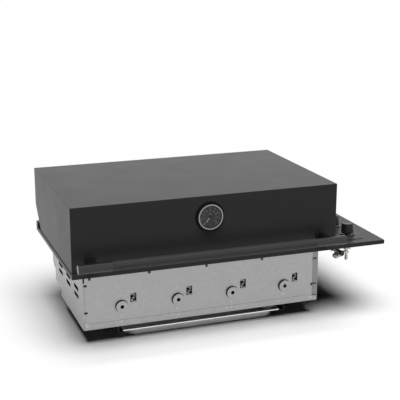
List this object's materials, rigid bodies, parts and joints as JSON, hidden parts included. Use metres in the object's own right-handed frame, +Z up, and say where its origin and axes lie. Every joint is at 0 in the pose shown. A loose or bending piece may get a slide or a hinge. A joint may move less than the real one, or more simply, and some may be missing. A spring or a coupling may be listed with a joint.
{
  "type": "built-in gas grill",
  "caption": "Built-in gas grill: a folded black hood with a front bar handle and a round gauge, a galvanised firebox under a cover plate, knobs at the right and a drip tray.",
  "frame": {"origin": "middle of the grill's bounding box at the surface that it stands on, under its drip tray", "axes": "+X along the handle towards the control knobs, +Y from the handle to the hood's hinges, +Z up"},
  "size_m": [1.0242, 0.6234, 0.444],
  "materials": {
    "black_paint": "fine satin black powder coat",
    "handle_grey": "satin dark grey anodised bar",
    "galvanised": "galvanised sheet with a faint spangle",
    "burner_steel": "satin stainless steel",
    "bright_steel": "bright plated steel",
    "dark_steel": "black plated steel",
    "tray_steel": "drawn stainless steel",
    "cast_iron": "matt enamelled cast iron",
    "black_plastic": "satin moulded black plastic",
    "dial_black": "matt black dial face",
    "needle_white": "matt white",
    "lens_glass": "clear polished",
    "brass": "pale plated brass"
  },
  "bodies": {
    "base": {"cover_plate": "black_paint", "rear_rail": "black_paint", "hinge_knuckle_left": "dark_steel", "hinge_knuckle_right": "dark_steel", "side_panel_left": "galvanised", "side_panel_right": "galvanised", "front_panel": "galvanised", "floor_pan": "galvanised", "rear_panel": "galvanised", "grate_ledge_front": "galvanised", "grate_ledge_rear": "galvanised", "burner_carrier": "galvanised", "tray_rail_left": "galvanised", "tray_rail_right": "galvanised", "burner_1": "burner_steel", "burner_2": "burner_steel", "burner_3": "burner_steel", "burner_4": "burner_steel", "flame_tamer_1": "burner_steel", "flame_tamer_2": "burner_steel", "flame_tamer_3": "burner_steel", "flame_tamer_4": "burner_steel", "cooking_grate_1": "cast_iron", "cooking_grate_2": "cast_iron", "cooking_grate_3": "cast_iron", "igniter_1": "bright_steel", "igniter_2": "bright_steel", "igniter_3": "bright_steel", "igniter_4": "bright_steel", "gas_manifold": "bright_steel", "gas_valve_1": "brass", "gas_valve_2": "brass", "gas_valve_3": "brass", "gas_valve_4": "brass", "knob_bezel_1": "bright_steel", "knob_bezel_2": "bright_steel", "knob_bezel_3": "bright_steel", "knob_bezel_4": "bright_steel"},
    "hood": {"hood_shell": "black_paint", "hinge_ear_left": "dark_steel", "hinge_ear_right": "dark_steel", "handle_grip": "handle_grey", "handle_sleeve_left": "handle_grey", "handle_sleeve_right": "handle_grey", "handle_post_left": "black_paint", "handle_post_right": "black_paint", "gauge_case": "black_plastic", "gauge_ring": "bright_steel", "gauge_dial": "dial_black", "gauge_lens": "lens_glass"},
    "needle": {"gauge_needle": "needle_white"},
    "stem_1": {"valve_stem_1": "brass"},
    "stem_2": {"valve_stem_2": "brass"},
    "stem_3": {"valve_stem_3": "brass"},
    "stem_4": {"valve_stem_4": "brass"},
    "knob_1": {"knob_1": "black_plastic"},
    "knob_2": {"knob_2": "black_plastic"},
    "knob_3": {"knob_3": "black_plastic"},
    "knob_4": {"knob_4": "black_plastic"},
    "tray": {"drip_tray": "tray_steel"}
  },
  "joints": [
    {"name": "hood_hinge", "type": "hinge", "parent": "base", "child": "hood", "pos_m": [-0.0846, 0.28865, 0.272], "axis": [-1, 0, 0], "range_deg": [0, 85]},
    {"name": "needle_turn", "type": "hinge", "parent": "hood", "child": "needle", "pos_m": [-0.0846, -0.23245, 0.3796], "axis": [0, 1, 0], "range_deg": [0, 276]},
    {"name": "knob_1_turn", "type": "hinge", "parent": "base", "child": "stem_1", "pos_m": [0.4261, -0.14835, 0.246], "axis": [0, 0, 1], "range_deg": [0, 190]},
    {"name": "knob_2_turn", "type": "hinge", "parent": "base", "child": "stem_2", "pos_m": [0.4261, -0.04835, 0.246], "axis": [0, 0, 1], "range_deg": [0, 190]},
    {"name": "knob_3_turn", "type": "hinge", "parent": "base", "child": "stem_3", "pos_m": [0.4261, 0.05165, 0.246], "axis": [0, 0, 1], "range_deg": [0, 190]},
    {"name": "knob_4_turn", "type": "hinge", "parent": "base", "child": "stem_4", "pos_m": [0.4261, 0.15165, 0.246], "axis": [0, 0, 1], "range_deg": [0, 190]},
    {"name": "knob_1_push", "type": "slide", "parent": "stem_1", "child": "knob_1", "axis": [0, 0, -1], "range_m": [0, 0.003], "stiffness_N_per_m": 800, "springref_m": -0.004},
    {"name": "knob_2_push", "type": "slide", "parent": "stem_2", "child": "knob_2", "axis": [0, 0, -1], "range_m": [0, 0.003], "stiffness_N_per_m": 800, "springref_m": -0.004},
    {"name": "knob_3_push", "type": "slide", "parent": "stem_3", "child": "knob_3", "axis": [0, 0, -1], "range_m": [0, 0.003], "stiffness_N_per_m": 800, "springref_m": -0.004},
    {"name": "knob_4_push", "type": "slide", "parent": "stem_4", "child": "knob_4", "axis": [0, 0, -1], "range_m": [0, 0.003], "stiffness_N_per_m": 800, "springref_m": -0.004},
    {"name": "drip_tray_slide", "type": "slide", "parent": "base", "child": "tray", "axis": [0, -1, 0], "range_m": [0, 0.3]}
  ]
}
